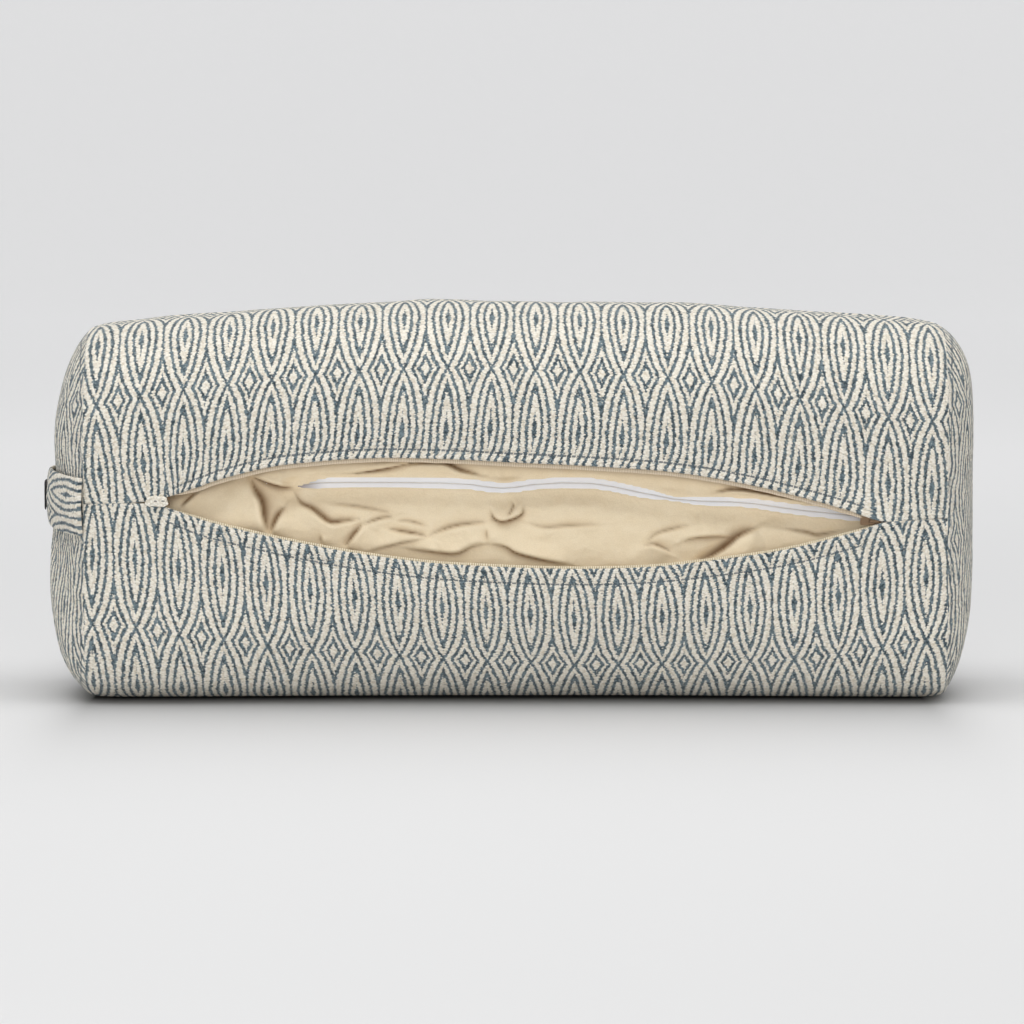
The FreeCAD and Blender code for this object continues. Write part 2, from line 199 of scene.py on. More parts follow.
# --- The cover's shape ----------------------------------------------------------------------------------
def lip_heights(x):
    """Heights of the upper and the lower lip's edge, x from the middle of the seams."""
    return height_of(UPPER_LIP, x), height_of(LOWER_LIP, x)


UPPER_LIP = smooth_path(UPPER_LIP_PLACES, 400)
LOWER_LIP = smooth_path(LOWER_LIP_PLACES, 400)


def mouthness(x):
    """1 in the middle of the mouth, falling to 0 at its corners."""
    return ease(1.15 - np.abs(x - 6.0) / 270.0)


def section(x, count=900):
    """Dense outline at x, in Y and Z: from the front up, over the top, down the back and under to the front.

    x is from the middle of the seams, and each corner is a rounded square with its own two radii.
    """
    t = abs(x) / HALF_LENGTH
    gape = float(mouthness(np.array(x)))
    high = TOP - 1.0 - (14.0 if x > 0 else 16.0) * t ** 2.6
    front = FRONT - 1.0 + 3.0 * t ** 3
    back = BACK - 1.5 - 4.0 * t ** 2.4
    corner = {
        "front_high": (84.0 - 8.0 * t, 84.0 - 12.0 * t),
        "back_high": (84.0 - 8.0 * t, 84.0 - 12.0 * t),
        "back_low": (62.0, 70.0 - 4.0 * t),
        "front_low": (52.0 + 8.0 * gape, 54.0 + 32.0 * gape),
    }
    lift = 1.2

    def arc(centre_y, centre_z, radii, start, power=2.15):
        turn = np.linspace(0.0, math.pi / 2, count // 4) + start
        c, s = np.cos(turn), np.sin(turn)
        y = centre_y + radii[0] * np.sign(c) * np.abs(c) ** (2.0 / power)
        z = centre_z + radii[1] * np.sign(s) * np.abs(s) ** (2.0 / power)
        return np.stack([y, z], axis=-1)

    fh, bh, bl, fl = (corner[k] for k in ("front_high", "back_high", "back_low", "front_low"))
    across = np.linspace(-1.0, 1.0, count // 8)
    under = np.stack([(back - bl[0] + front + fl[0]) / 2 - across * (back - bl[0] - front - fl[0]) / 2,
                      lift * np.abs(across) ** 1.2], axis=-1)
    parts = [
        arc(front + fh[0], high - fh[1], fh, math.pi / 2)[::-1],
        arc(back - bh[0], high - bh[1], bh, 0.0)[::-1],
        arc(back - bl[0], bl[1], (bl[0], bl[1] - lift), -math.pi / 2)[::-1],
        under[1:-1],
        arc(front + fl[0], fl[1], (fl[0], fl[1] - lift), math.pi, 2.15 - 0.38 * gape)[::-1],
    ]
    return np.concatenate(parts)


def cut_section(x, count):
    """The outline from the upper lip's edge to the lower one's as evenly spaced points, and its length."""
    line = section(x)
    upper, lower = lip_heights(np.array(x))
    upper, lower = float(upper + hem_radius(x)), float(lower - hem_radius(x))
    quarter = len(line) // 4
    front_y = line[0, 0]
    start = line[:quarter]
    end = line[-quarter:]
    kept_start = start[start[:, 1] > upper + 0.5]
    kept_end = end[end[:, 1] < lower - 0.5]
    first = [np.interp(upper, start[:, 1], start[:, 0]), upper] if upper > start[0, 1] else [front_y, upper]
    last_y = np.interp(lower, end[:, 1], end[:, 0]) if lower < end[-1, 1] else end[-1, 0]
    whole = np.concatenate([[first], kept_start, line[quarter:-quarter], kept_end, [[last_y, lower]]])
    return resample(whole, count)


def cloth_row(x, line, distance):
    """Pattern coordinate round the bolster: the rows of small diamonds pass through their seen heights."""
    length = distance[-1]
    half = len(line) // 4
    upper = np.interp(height_of(UPPER_ROW, x), line[:half, 1], distance[:half])
    lower = np.interp(height_of(LOWER_ROW, x), line[-half:, 1], length - distance[-half:])
    tall_up, tall_low = height_of(TALL_BELOW_UPPER, x), height_of(TALL_ABOVE_LOWER, x)
    cut = 6 * ROW_PERIOD
    reach = 170.0
    half_row = ROW_PERIOD / 2
    places = [0.0, upper - tall_up, upper, reach,
              length - reach, length - lower, length - lower + tall_low, length]
    rows = [-half_row * (1.0 + (upper - tall_up) / tall_up), -half_row, 0.0, reach - upper,
            cut - reach + lower, cut, cut + half_row, cut + half_row * (1.0 + (lower - tall_low) / tall_low)]
    return np.interp(distance, places, rows)


def cloth_lean(x, distance):
    """How far the pattern is drawn towards the left, round one section of the bolster."""
    mouth = float(openness(x))
    to_lower = distance[-1] - distance
    upper = (1.4 + (2.2 * np.exp(-distance / 30.0) + 3.4 * np.exp(-distance / 7.0)) * mouth
             - 7.0 * np.exp(-distance / 28.0) * float(ease((-215.0 - x) / 50.0)))
    lower = 4.7 + 2.5 * np.exp(-to_lower / 28.0) * (1.0 - 2.2 * math.exp(-(x + HALF_LENGTH) / 25.0))
    share = ease((distance / distance[-1] - 0.4) / 0.2)
    return upper + (lower - upper) * share


def openness(x):
    """1 along the mouth, falling to 0 where the lips are sewn or zipped together."""
    return ease((MOUTH_RIGHT - x) / 14.0) * ease((x - MOUTH_LEFT) / 14.0)


def hem_radius(x):
    """The lips' rolled edges are plump round the mouth and pressed flat where they are closed."""
    open_share = ease((MOUTH_RIGHT - x) / 22.0) * ease((x - MOUTH_LEFT) / 22.0)
    return CLOSED_HEM_RADIUS + (HEM_RADIUS - CLOSED_HEM_RADIUS) * open_share


def lip_rolls(edge, inward, normal, cloth, out_sign):
    """Rows of points that turn the cloth round a hem's edge and back behind it."""
    rows, coordinates = [], []
    radius = hem_radius(edge[:, 0])[:, None]
    for turn in np.linspace(0.0, math.pi, 7)[1:]:
        rows.append(edge - inward * radius * math.sin(turn) - normal * radius * (1 - math.cos(turn)))
        coordinates.append(cloth + np.array([0.0, out_sign * HEM_RADIUS * turn, 0.0]))
    for back in (3.0, 7.0, 11.0):
        rows.append(edge + inward * back - normal * (2 * radius + 0.32 * back))
        coordinates.append(cloth + np.array([0.0, out_sign * (HEM_RADIUS * math.pi + back), 0.0]))
    return rows, coordinates


def cover_surface():
    """Points, pattern coordinates and normals of the wrap: columns along X, rows round the bolster."""
    rows, columns = COVER_GRID
    xs = np.linspace(-HALF_LENGTH, HALF_LENGTH, columns)
    points = np.zeros((rows, columns, 3))
    cloth = np.zeros((rows, columns, 3))
    distance = np.zeros((rows, columns))
    lengths = np.zeros(columns)
    for i, x in enumerate(xs):
        line, length = cut_section(x, rows)
        points[:, i, 0] = x
        points[:, i, 1:] = line
        distance[:, i] = np.linspace(0.0, length, rows)
        lengths[i] = length
        cloth[:, i, 0] = x + cloth_lean(x, distance[:, i])
        cloth[:, i, 1] = cloth_row(x, line, distance[:, i])
        cloth[:, i, 2] = np.where(distance[:, i] < length / 2, distance[:, i], distance[:, i] - length)
    normal = -grid_normals(points)
    from_lip = np.minimum(distance, lengths - distance)
    from_seam = HALF_LENGTH - np.abs(points[..., 0])
    points += normal * wrap_relief(points, from_lip, from_seam, cloth[..., 2] > 0)[..., None]
    normal = -grid_normals(points)
    return points, cloth, normal


def wrap_relief(points, from_lip, from_seam, upper):
    """How far the cloth stands out from its plain section, in millimetres."""
    x, z = points[..., 0], points[..., 2]
    broad = lumps(points, 120.0, 3.1) * 2.2 + lumps(points, 45.0, 7.7) * 0.9
    away_from_floor = ease(z / 30.0)
    seam_dip = -3.0 * np.exp(-from_seam / 5.0)
    pleats = lumps(points * np.array([0.0, 1.0, 1.0]), 15.0, 11.3) * 1.3 * np.exp(-from_seam / 22.0)
    closed = 1.0 - openness(x)
    lip_dip = -0.45 * np.exp(-from_lip / 2.5) * closed
    stitch_row = np.where(upper, STITCH_UPPER, STITCH_LOWER)
    stitch_dip = -1.3 * bell(from_lip - stitch_row, 1.8) * openness(x)
    gathers = lumps(points * np.array([1.0, 0.0, 0.0]), 9.0, 5.9) * 0.8 * np.exp(-from_lip / 16.0)
    gathers = gathers * (1.0 - 0.6 * closed)
    slider_swell = 3.2 * bell(x - 252.0, 16.0) * np.exp(-from_lip / 14.0)
    belly = 2.5 * mouthness(x) * np.exp(-from_lip / 50.0)
    right_tuck = -5.0 * bell(x - 300.0, 12.0) * bell(z - 137.0, 26.0)
    full = (broad + belly + slider_swell) * away_from_floor
    return full + seam_dip + pleats + lip_dip + stitch_dip + gathers + right_tuck


def make_cover_wrap(material):
    points, cloth, normal = cover_surface()
    inward_top = unit(points[1] - points[0])
    inward_low = unit(points[-2] - points[-1])
    top_rows, top_cloth = lip_rolls(points[0], inward_top, normal[0], cloth[0], -1.0)
    low_rows, low_cloth = lip_rolls(points[-1], inward_low, normal[-1], cloth[-1], 1.0)
    whole = np.concatenate([np.array(top_rows[::-1]), points, np.array(low_rows)])
    coordinates = np.concatenate([np.array(top_cloth[::-1]), cloth, np.array(low_cloth)])
    whole[..., 0] += SEAM_X
    rows, columns = whole.shape[:2]
    made = new_piece("cover_wrap", whole, grid_faces(rows, columns), coordinates, material)
    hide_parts("cover_main_panel")
    lips = {"upper": (points[0], inward_top, normal[0]), "lower": (points[-1], inward_low, normal[-1])}
    return points, lips


# --- The two puffed ends ---------------------------------------------------------------------------------
def dome_rise(scale, fullness):
    """How far a ring stands out: scale is 1 at the seam and 0 in the middle."""
    return DOME_REACH * (1.0 - np.exp(-(1.0 - scale) * fullness)) / (1.0 - np.exp(-fullness))


def make_dome(name, side, border, material, slot, rings, node, flat, reach=1.0, ripple=1.6, rests_on=(),
              full=(2.9, 2.9, 2.9), centre_z=None, dent=0.0):
    """A puffed end: rings that shrink from the seam to the middle and stand out along X.

    full is how steeply it leaves the seam at the front and back, at the top, and at the bottom.
    """
    centre = border.mean(axis=0)
    height = border[:, 2]
    centre[2] = (height.min() + height.max()) / 2 if centre_z is None else centre_z
    above = height > centre[2]
    upright = np.abs(height - centre[2]) / np.where(above, height.max() - centre[2], centre[2] - height.min())
    fullness = full[0] + (np.where(above, full[1], full[2]) - full[0]) * upright ** 4
    scales = np.concatenate([np.linspace(1.0, 0.78, rings // 2, endpoint=False),
                             np.linspace(0.78, 0.012, rings - rings // 2)])
    points = centre + (border - centre)[None] * scales[:, None, None]
    points[..., 0] = border[None, :, 0] + side * dome_rise(scales[:, None], fullness[None]) * reach
    inward = (1.0 - scales)[:, None] * 110.0
    waves = lumps(np.stack([border[:, 1], height, height * 0.0], axis=-1), 13.0, 4.4 + side)
    soft = lumps(points, 60.0, 21.0 + side)
    push = ripple * waves[None] * np.exp(-inward / 14.0) * (1 - np.exp(-inward / 3.0))
    push = push + 1.3 * soft * ease(inward / 40.0)
    points[..., 0] += side * (push - dent * bell(points[..., 2] - 145.0, 34.0) * ease(inward / 70.0))
    cloth = np.stack([points[..., 1] + 6.0, points[..., 2] - 20.0, inward + points[..., 2] * 0.0], axis=-1)
    faces = grid_faces(len(scales), border.shape[0], close_columns=True)
    if side > 0:
        faces = faces[:, ::-1]
    made = new_piece(name, points, faces, cloth, material)
    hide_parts(node)


# --- The handle and its label ------------------------------------------------------------------------
def outward(path):
    """The path's normals in X and Y, on the side away from the bolster."""
    tangent = unit(np.gradient(path, axis=0))
    out = np.stack([tangent[:, 1], -tangent[:, 0]], axis=-1)
    return -out if out[len(path) // 2, 0] > 0 else out


def make_band(name, path, middle_z, width, thickness, material, along_start=0.0, across_start=0.0,
              lift=0.0, crown=0.0):
    """A flat strap swept along a path in X and Y, standing on edge, and its length."""
    stations = len(path)
    out = outward(path)
    along = distances_along(path)
    ring = []
    half, thick = width / 2, thickness / 2
    for turn in np.linspace(0, 2 * math.pi, 36, endpoint=False):
        c, s = math.cos(turn), math.sin(turn)
        ring.append((thick * math.copysign(abs(c) ** 0.6, c), half * math.copysign(abs(s) ** 0.22, s)))
    ring = np.array(ring)
    points = np.zeros((stations, len(ring), 3))
    cloth = np.zeros_like(points)
    for k, (depth, height) in enumerate(ring):
        bow = crown * (1.0 - (height / half) ** 2)
        points[:, k, :2] = path + out * (depth + bow)
        points[:, k, 2] = middle_z + height + lift
        cloth[:, k] = np.stack([np.full(stations, height + across_start), along + along_start,
                                np.full(stations, FAR_FROM_LIP)], axis=-1)
    faces = grid_faces(stations, len(ring), close_columns=True).tolist()
    last = (stations - 1) * len(ring)
    faces.append(list(range(len(ring)))[::-1])
    faces.append(list(range(last, last + len(ring))))
    made = new_piece(name, points, faces, cloth, material)
    return made, along[-1]


def strap_path():
    """From the front seam, close over the puffed end, and back to the rear seam."""
    seam_x = STRAP_HIGH[0] - 1.0
    front, back = FRONT + 1.0, BACK - 5.0
    half = (back - front) / 2
    corners = []
    for depth in (0.0, 6.0, 14.0, 27.0, 42.0, 58.0, 74.0, half):
        stand_off = 1.6 + 1.4 * float(ease(depth / 90.0))
        share = min(depth / half, 1.0)
        reach = float(dome_rise(1.0 - share + share ** 4 / 4.0, END_FRONT)) * END_REACH
        corners.append((seam_x - reach - stand_off * min(depth / 6.0, 1.0), front + depth))
    rear = [(x, front + back - y) for x, y in corners[:-1]]
    return smooth_path(corners + rear[::-1], 120)


def make_handle(material, label_material):
    middle = (STRAP_LOW[2] + STRAP_HIGH[2]) / 2
    width = STRAP_HIGH[2] - STRAP_LOW[2]
    path = strap_path()
    sag = 1.2 * np.sin(np.linspace(0.0, math.pi, len(path))) ** 2
    strap, length = make_band("handle_loop", path, middle, width, 3.2, material,
                              along_start=30.0, across_start=8.0, lift=sag, crown=2.2)
    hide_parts("handle_strap")
    label_half = (LABEL_HIGH[1] - LABEL_LOW[1]) / 2
    near = np.abs(path[:, 1] - (LABEL_LOW[1] + LABEL_HIGH[1]) / 2) <= label_half
    label_path = (path + outward(path) * 4.3)[near]
    label_middle = (LABEL_LOW[2] + LABEL_HIGH[2]) / 2
    label_width = LABEL_HIGH[2] - LABEL_LOW[2]
    label, label_length = make_band("handle_tag", label_path, label_middle + 1.2, label_width, 1.1,
                                    label_material)
    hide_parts("handle_label")


# --- Zip tapes and coils that follow the lips --------------------------------------------------------
def ribbon(name, line, across, width, thickness, material, node, sink_from=99.0, shade=0.0):
    """A thin tape: line is its near edge, across is its width's direction, and it sinks back past sink_from.

    shade is how dark it is, 0 to 1, at each place along it.
    """
    normal = unit(np.cross(np.gradient(line, axis=0), across))
    normal *= np.where(normal[:, 1:2] < 0, -1.0, 1.0)
    steps = np.linspace(0.0, width, 8)
    sink = [normal * 1.1 * max(s - sink_from, 0.0) for s in steps]
    front = [line + across * s + d for s, d in zip(steps, sink)]
    back = [line + across * s + d + normal * thickness for s, d in zip(steps[::-1], sink[::-1])]
    points = np.array(front + back).transpose(1, 0, 2)
    along = distances_along(line)
    widths = np.concatenate([steps, steps[::-1]])
    cloth = np.zeros_like(points)
    cloth[..., 0] = along[:, None]
    cloth[..., 1] = widths[None]
    cloth[..., 2] = (along * 0.0 + shade)[:, None]
    faces = grid_faces(len(line), points.shape[1], close_columns=True)
    made = new_piece(name, points, faces, cloth, material)
    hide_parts(node)


def tube(name, line, radius, material, node, sides=8):
    """A round cord along a line, for the zips' coils."""
    tangent = unit(np.gradient(line, axis=0))
    side = unit(np.cross(tangent, np.array([0.0, 1.0, 0.0])))
    up = np.cross(side, tangent)
    along = distances_along(line)
    points, cloth = [], []
    for turn in np.linspace(0.0, 2 * math.pi, sides, endpoint=False):
        points.append(line + side * radius * math.cos(turn) + up * radius * math.sin(turn))
        cloth.append(np.stack([along, np.full(len(line), radius * turn), along * 0.0], axis=-1))
    faces = grid_faces(len(line), sides, close_columns=True)
    made = new_piece(name, np.array(points).transpose(1, 0, 2), faces, np.array(cloth).transpose(1, 0, 2),
                     material)
    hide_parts(node)


# --- The inner bag ---------------------------------------------------------------------------------------
BAG_INSET = 9.0
BAG_HALF = HALF_LENGTH - 11.0
FOLD_HEIGHT = 1.6        # how much fuller the folds are than their listed heights
# The finely meshed patch of the bag's front that the mouth shows, and the mesh's rows on it and behind it.
PATCH_LOW, PATCH_HIGH = 72.0, 196.0
PATCH_LEFT, PATCH_RIGHT = -262.0, 276.0
PATCH_ROWS, ROWS_BEHIND = 100, 62
BAG_ZIP_TAPE_WIDTH = 10.5
CREASE_SHADE_SCALE = 10.0      # the cloth coordinate of the deepest painted crease shade

# The bag's zip, left to right: X from the middle of the seams, and Z.
BAG_ZIP_LINE = [(-172, 152.5), (-158, 153.7), (-151, 155.6), (-137, 156.9), (-115, 157), (-80, 157),
                (-52, 156.8), (-31, 155.8), (-20, 154.1), (-10, 153.2), (-1, 153.7), (11, 155.5), (32, 156.8),
                (54, 156.4), (68, 154.4), (89, 149.9), (99, 148.1), (111, 145.6), (131, 143.9), (152, 143.3),
                (170, 141.8), (187, 139.3), (205, 137), (223, 135.3), (237, 133.8), (258, 132.6)]

# Folds of the calico: height, how wide its full side is, and the line of its crease, in the same X and Z.
# The full side is on the left of the line's direction.
FOLDS = [
    (7.5, 14, [(-175, 123), (-178, 133), (-180, 144), (-185, 153), (-188, 161)]),
    (8, 8, [(-187, 161), (-177, 157), (-166, 154), (-156, 153)]),
    (7, 7, [(-140, 160.5), (-128, 161.5), (-115, 163), (-87, 168), (-67, 173)]),
    (5.5, 9, [(-163, 140), (-168, 134), (-172, 126), (-174, 122)]),
    (5, 8, [(-111, 132), (-123, 130), (-132, 130), (-144, 139), (-152, 143), (-158, 152)]),
    (4.5, 8, [(-108, 129), (-115, 120), (-121, 112)]),
    (3.4, 6, [(-86, 134), (-97, 132), (-108, 128)]),
    (2.4, 8, [(-87, 136), (-109, 140), (-132, 143)]),
    (3.8, 6, [(-62, 119), (-68, 121), (-80, 123), (-91, 125)]),
    (3.4, 8, [(-20, 130), (-42, 127), (-57, 122), (-62, 119)]),
    (3.8, 7, [(-80, 111), (-57, 108), (-42, 107), (-31, 112), (-20, 114)]),
    (4.4, 7, [(-20, 114), (-8, 112), (1, 107), (20, 102), (37, 99)]),
    (6, 5, [(-18, 138), (-16, 133), (-11, 130), (-4, 131), (4, 135), (6, 141)]),
    (4.4, 3.5, [(-6, 148), (-2, 142), (-3, 138), (-6, 134)]),
    (2.4, 5, [(-21, 125), (-20, 116)]),
    (2.6, 9, [(61, 128), (37, 127), (20, 126), (6, 130)]),
    (3.4, 6, [(110, 108), (105, 111), (97, 114), (90, 113)]),
    (2.8, 8, [(124, 128), (108, 124), (99, 121), (91, 114)]),
    (3.6, 9, [(117, 115), (126, 118), (142, 119), (153, 117)]),
    (10, 12, [(171, 126), (158, 120), (152, 115), (144, 109), (135, 104), (126, 102)]),
    (3.6, 6, [(237, 125), (224, 122), (213, 120), (206, 122), (189, 125)]),
    (3, 6, [(201, 127), (210, 130), (223, 132), (235, 132)]),
    (6, 6, [(216, 141), (187, 147.5), (158, 152.5), (135, 148.5)]),
    (2.6, 5, [(128, 143), (130, 130)]),
    (6, 6, [(-24, 162), (-39, 166), (-45, 169), (-54, 172), (-80, 171)]),
    (4.2, 3.5, [(-225, 151), (-232, 145), (-237, 140)]),
    (2.4, 5, [(-138, 120), (-137, 113)]),
    (2.8, 5, [(-63, 127), (-74, 130), (-84, 131)]),
    (3, 6, [(-102, 109), (-84, 114), (-66, 118)]),
]


def line_distance(x, z, line):
    """Each point's distance from a polyline, positive on its left, and its nearest place along it, 0 to 1."""
    best = np.full(x.shape, 1e9)
    signed = np.zeros(x.shape)
    where = np.zeros(x.shape)
    line = np.array(line, dtype=float)
    before = distances_along(line)
    step = np.linalg.norm(np.diff(line, axis=0), axis=1)
    for k in range(len(step)):
        ax, az = line[k]
        dx, dz = line[k + 1] - line[k]
        share = np.clip(((x - ax) * dx + (z - az) * dz) / step[k] ** 2, 0.0, 1.0)
        gap = np.hypot(x - ax - share * dx, z - az - share * dz)
        side = np.where(dx * (z - az) - dz * (x - ax) > 0, 1.0, -1.0)
        nearer = gap < best
        best = np.where(nearer, gap, best)
        signed = np.where(nearer, gap * side, signed)
        where = np.where(nearer, (before[k] + share * step[k]) / before[-1], where)
    return signed, where


def fold_relief(x, z):
    """A fold rises steeply out of its crease, rolls over, and fades away on its full side.

    Gives its height, and how close each point is to the foot of a crease, which sets how much painted shade
    the calico takes there.
    """
    out = np.zeros(x.shape)
    crease_foot_shade = np.zeros(x.shape)
    for height, width, corners in FOLDS:
        line = smooth_path(corners, 6 * len(corners))
        gap, where = line_distance(x, z, line)
        taper = np.sqrt(np.clip(np.sin(math.pi * np.clip(where, 0.02, 0.98)), 0.0, 1.0))
        ahead = np.maximum(gap, 0.0)
        full = (1.5 * (1.0 - np.exp(-ahead / 1.1)) - 0.5) * np.exp(-ahead / width)
        hollow = -0.5 * np.exp(np.minimum(gap, 0.0) / (0.45 * width))
        out += FOLD_HEIGHT * height * taper * np.where(gap > 0, full, hollow)
        # painted shade: strongest at a crease's foot, fading fast on the full side and more slowly into the
        # hollow
        near = np.where(gap > 0, np.exp(-gap / 1.0), np.exp(gap / (0.35 * width)))
        crease_foot_shade = np.maximum(crease_foot_shade, taper * min(height / 5.0, 1.0) * near)
    return out, crease_foot_shade


def zip_depth(x):
    """Where the bag's zip lies along Y: a smooth run that dives behind the fold at its left end."""
    return -69.5 + 1.6 * np.sin(x / 23.0) + 12.0 * ease((-150.0 - x) / 22.0)


def tape_shown(x, above):
    """How much of each white tape shows: less where calico rolls over it, and almost none at its left."""
    width = 3.8 - 2.0 * bell(x - 111.0, 14.0) - 0.8 * bell(x - 150.0, 24.0)
    start = np.where(above, (x + 158.0) / 30.0, (x + 165.0) / 12.0)
    return width * np.clip(start, 0.0, 1.0) + 0.1


def bag_front(x, z, plain_y):
    """Y of the calico's front where its plain outline is at plain_y, and how much painted shade its colour
    takes: in its creases, and as a painted shadow just under the upper lip.
    """
    below = height_of(BAG_ZIP_LINE, x) - z
    swell = -9.0 + 6.0 * ease(below / 30.0) + 5.0 * ease((-below - 5.0) / 14.0)
    left_flap = 3.0 * ease((-186.0 - x) / 18.0) * ease(below / 20.0 + 0.6)
    wrinkles = lumps(np.stack([x, z * 0.0, z * 1.4], axis=-1), 26.0, 9.2, 3) * 1.1
    valley = -4.0 * bell(x + 6.0, 9.0) * ease((z - 140.0) / 16.0)
    folds, crease_foot_shade = fold_relief(x, z)
    y = plain_y - (swell + left_flap + wrinkles + valley + folds)
    from_zip = np.abs(below)
    reach = np.where(below > 0, 17.0, 8.0)
    beside_zip = ease((reach - from_zip) / (reach - 4.5)) * ease((x + 167.0) / 12.0)
    shown = tape_shown(x, below < 0)
    flat_y = zip_depth(x) - 0.45 + 0.95 * ease((shown - from_zip) / 0.9)
    flat_y = flat_y - 0.6 * ease((-138.0 - x) / 12.0)
    y = y + (flat_y - y) * beside_zip
    # painted shadow on the calico just under the upper lip, kept off the zip's neighbourhood
    lip_shadow = 0.5 * np.exp(-np.maximum(lip_heights(x)[0] - 4.0 - z, 0.0) / 3.5) * (1.0 - beside_zip)
    # The crease shade is painted shade. It is kept off the zip's neighbourhood except at the zip's left end,
    # where it darkens the wedge.
    return np.minimum(y, -62.5), np.maximum(crease_foot_shade * (1.0 - beside_zip * ease((x + 152.0) / 16.0)), lip_shadow)


def bag_outline(x):
    """Outline of the bag at x, set in from the cover's and running the same way round."""
    line = section(x, 600)
    centre_y = (FRONT + BACK) / 2
    centre_z = TOP / 2
    line[:, 0] = centre_y + (line[:, 0] - centre_y) * (1.0 - 2 * BAG_INSET / (BACK - FRONT))
    line[:, 1] = centre_z + (line[:, 1] - centre_z) * (1.0 - 2 * BAG_INSET / TOP)
    return line


def bag_surface():
    """Points of the bag, as a closed grid from the patch down its front and round, and each one's painted
    crease shade.
    """
    xs = np.concatenate([np.linspace(-BAG_HALF, PATCH_LEFT, 5, endpoint=False),
                         np.linspace(PATCH_LEFT, PATCH_RIGHT, 400),
                         np.linspace(PATCH_RIGHT, BAG_HALF, 4)[1:]])
    heights = np.linspace(PATCH_HIGH, PATCH_LOW, PATCH_ROWS)
    points = np.zeros((PATCH_ROWS + ROWS_BEHIND, len(xs), 3))
    for i, x in enumerate(xs):
        line = bag_outline(x)
        quarter = len(line) // 4
        up = line[:quarter]
        down = line[-quarter:]
        front = np.concatenate([down, up])
        order = np.argsort(front[:, 1])
        front_y = np.interp(heights, front[order, 1], front[order, 0])
        rest = np.concatenate([[[front_y[-1], heights[-1]]], down[down[:, 1] < PATCH_LOW - 2][::-1],
                               line[quarter:-quarter][::-1], up[up[:, 1] > PATCH_HIGH + 2][::-1],
                               [[front_y[0], heights[0]]]])
        rest, _ = resample(rest, ROWS_BEHIND + 2)
        points[:, i, 0] = x
        points[:PATCH_ROWS, i, 1] = front_y
        points[:PATCH_ROWS, i, 2] = heights
        points[PATCH_ROWS:, i, 1:] = rest[1:-1]
    patch = points[:PATCH_ROWS]
    fade = ease((PATCH_HIGH - patch[..., 2]) / 10.0) * ease((patch[..., 2] - PATCH_LOW) / 12.0)
    fade = fade * ease((PATCH_RIGHT - patch[..., 0]) / 12.0) * ease((patch[..., 0] - PATCH_LEFT) / 10.0)
    shaped, crease_foot_shade = bag_front(patch[..., 0], patch[..., 2], patch[..., 1])
    crease_shade = np.zeros(points.shape[:2])
    crease_shade[:PATCH_ROWS] = crease_foot_shade * fade
    patch[..., 1] += (shaped - patch[..., 1]) * fade
    limit = FRONT + 4.5
    over = limit + 2.0 - patch[..., 1]
    patch[..., 1] = np.where(over > 0, limit + 2.0 * np.exp(-np.maximum(over, 0.0) / 2.0), patch[..., 1])
    return points, crease_shade


def make_bag(material):
    points, crease_shade = bag_surface()
    shown = points.copy()
    shown[..., 0] += SEAM_X
    # the cloth's third part carries the painted crease shade to the calico's colour
    cloth = np.stack([points[..., 0], points[..., 2], crease_shade * CREASE_SHADE_SCALE], axis=-1)
    rows, columns = points.shape[:2]
    index = np.arange(rows * columns).reshape(rows, columns)
    below = np.roll(index, -1, axis=0)
    faces = np.stack([index[:, :-1], below[:, :-1], below[:, 1:], index[:, 1:]], axis=-1).reshape(-1, 4)
    made = new_piece("bag_wrap", shown, faces, cloth, material)
    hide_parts("bag_main_panel")
    return shown


def make_filling(material):
    """The packed fibre: a plain full shape just inside the bag."""
    rings, around = 17, 64
    centre = np.array([(FRONT + BACK) / 2, TOP / 2])
    half = BAG_HALF - 4.0
    points = []
    for turn in np.linspace(-math.pi / 2 + 0.05, math.pi / 2 - 0.05, rings):
        scale = math.cos(turn) ** 0.25
        x = math.sin(turn) * half
        line, _ = resample(bag_outline(x)[::-1], around)
        line = centre + (line - centre) * scale * np.array([0.76, 0.86])
        points.append(np.column_stack([np.full(around, SEAM_X + x), line]))
    points = np.array(points)
    made = new_piece("bag_filling", points, grid_faces(rings, around, close_columns=True), points, material)
    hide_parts("filling")


